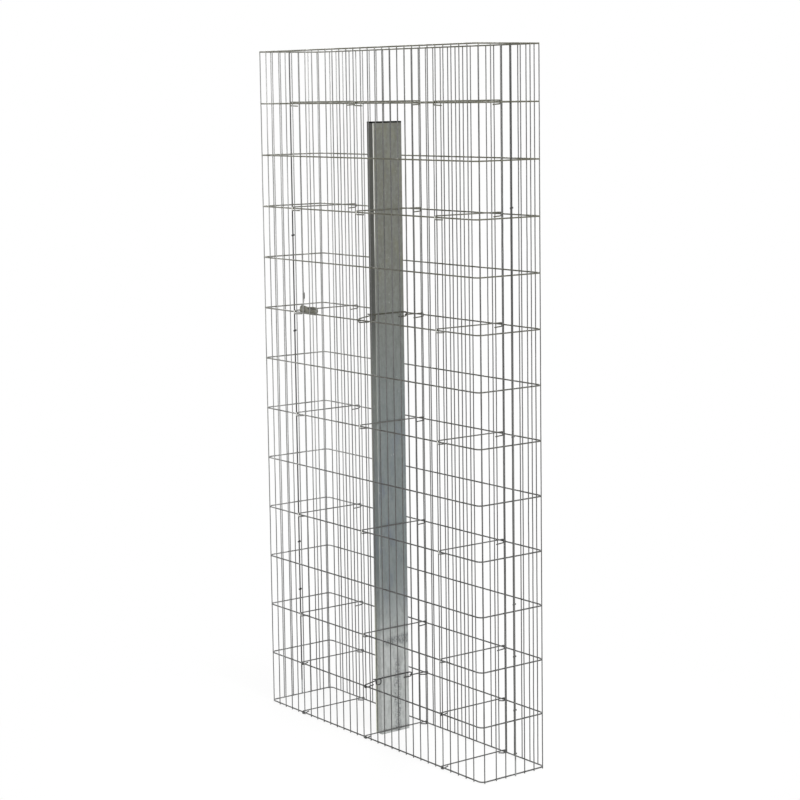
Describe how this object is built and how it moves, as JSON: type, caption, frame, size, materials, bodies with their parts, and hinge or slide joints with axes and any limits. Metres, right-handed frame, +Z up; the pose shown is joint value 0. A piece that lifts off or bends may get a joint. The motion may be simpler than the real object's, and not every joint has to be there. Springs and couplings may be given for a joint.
{
  "type": "gabion wall",
  "caption": "Tall, narrow gabion wall bay: an empty welded-wire basket with hooked cross spacers, closing rods at its ends and a capped rectangular steel post inside.",
  "frame": {"origin": "on the ground, under the middle of the basket", "axes": "+X along the wall, +Y back through its depth, +Z up"},
  "size_m": [1.0194, 0.231, 1.9577],
  "materials": {
    "mesh_wire": "galvanised, satin",
    "spacer_wire": "galvanised, satin",
    "rod_wire": "galvanised, satin",
    "post_zinc": "hot-dip galvanised, mottled and dull",
    "cap_plastic": "moulded, matte",
    "pouch_film": "soft film, creased"
  },
  "bodies": {
    "root": {"front_mesh": "mesh_wire", "back_mesh": "mesh_wire", "left_front_return": "mesh_wire", "left_back_return": "mesh_wire", "right_front_return": "mesh_wire", "right_back_return": "mesh_wire", "left_spacer_1": "spacer_wire", "left_spacer_3": "spacer_wire", "left_spacer_5": "spacer_wire", "left_spacer_7": "spacer_wire", "left_spacer_9": "spacer_wire", "left_spacer_11": "spacer_wire", "left_spacer_12": "spacer_wire", "left_spacer_13": "spacer_wire", "middle_spacer_1": "spacer_wire", "middle_spacer_3": "spacer_wire", "middle_spacer_7": "spacer_wire", "middle_spacer_9": "spacer_wire", "middle_spacer_11": "spacer_wire", "middle_spacer_13": "spacer_wire", "right_spacer_1": "spacer_wire", "right_spacer_3": "spacer_wire", "right_spacer_5": "spacer_wire", "right_spacer_7": "spacer_wire", "right_spacer_9": "spacer_wire", "right_spacer_11": "spacer_wire", "right_spacer_12": "spacer_wire", "right_spacer_13": "spacer_wire", "post_tie_5": "spacer_wire", "post_tie_12": "spacer_wire", "front_link_5": "spacer_wire", "front_link_12": "spacer_wire", "back_link_5": "spacer_wire", "back_link_12": "spacer_wire", "left_closing_rod": "rod_wire", "right_closing_rod": "rod_wire", "post": "post_zinc", "post_cap": "cap_plastic", "fixings_pouch": "pouch_film"}
  },
  "joints": []
}
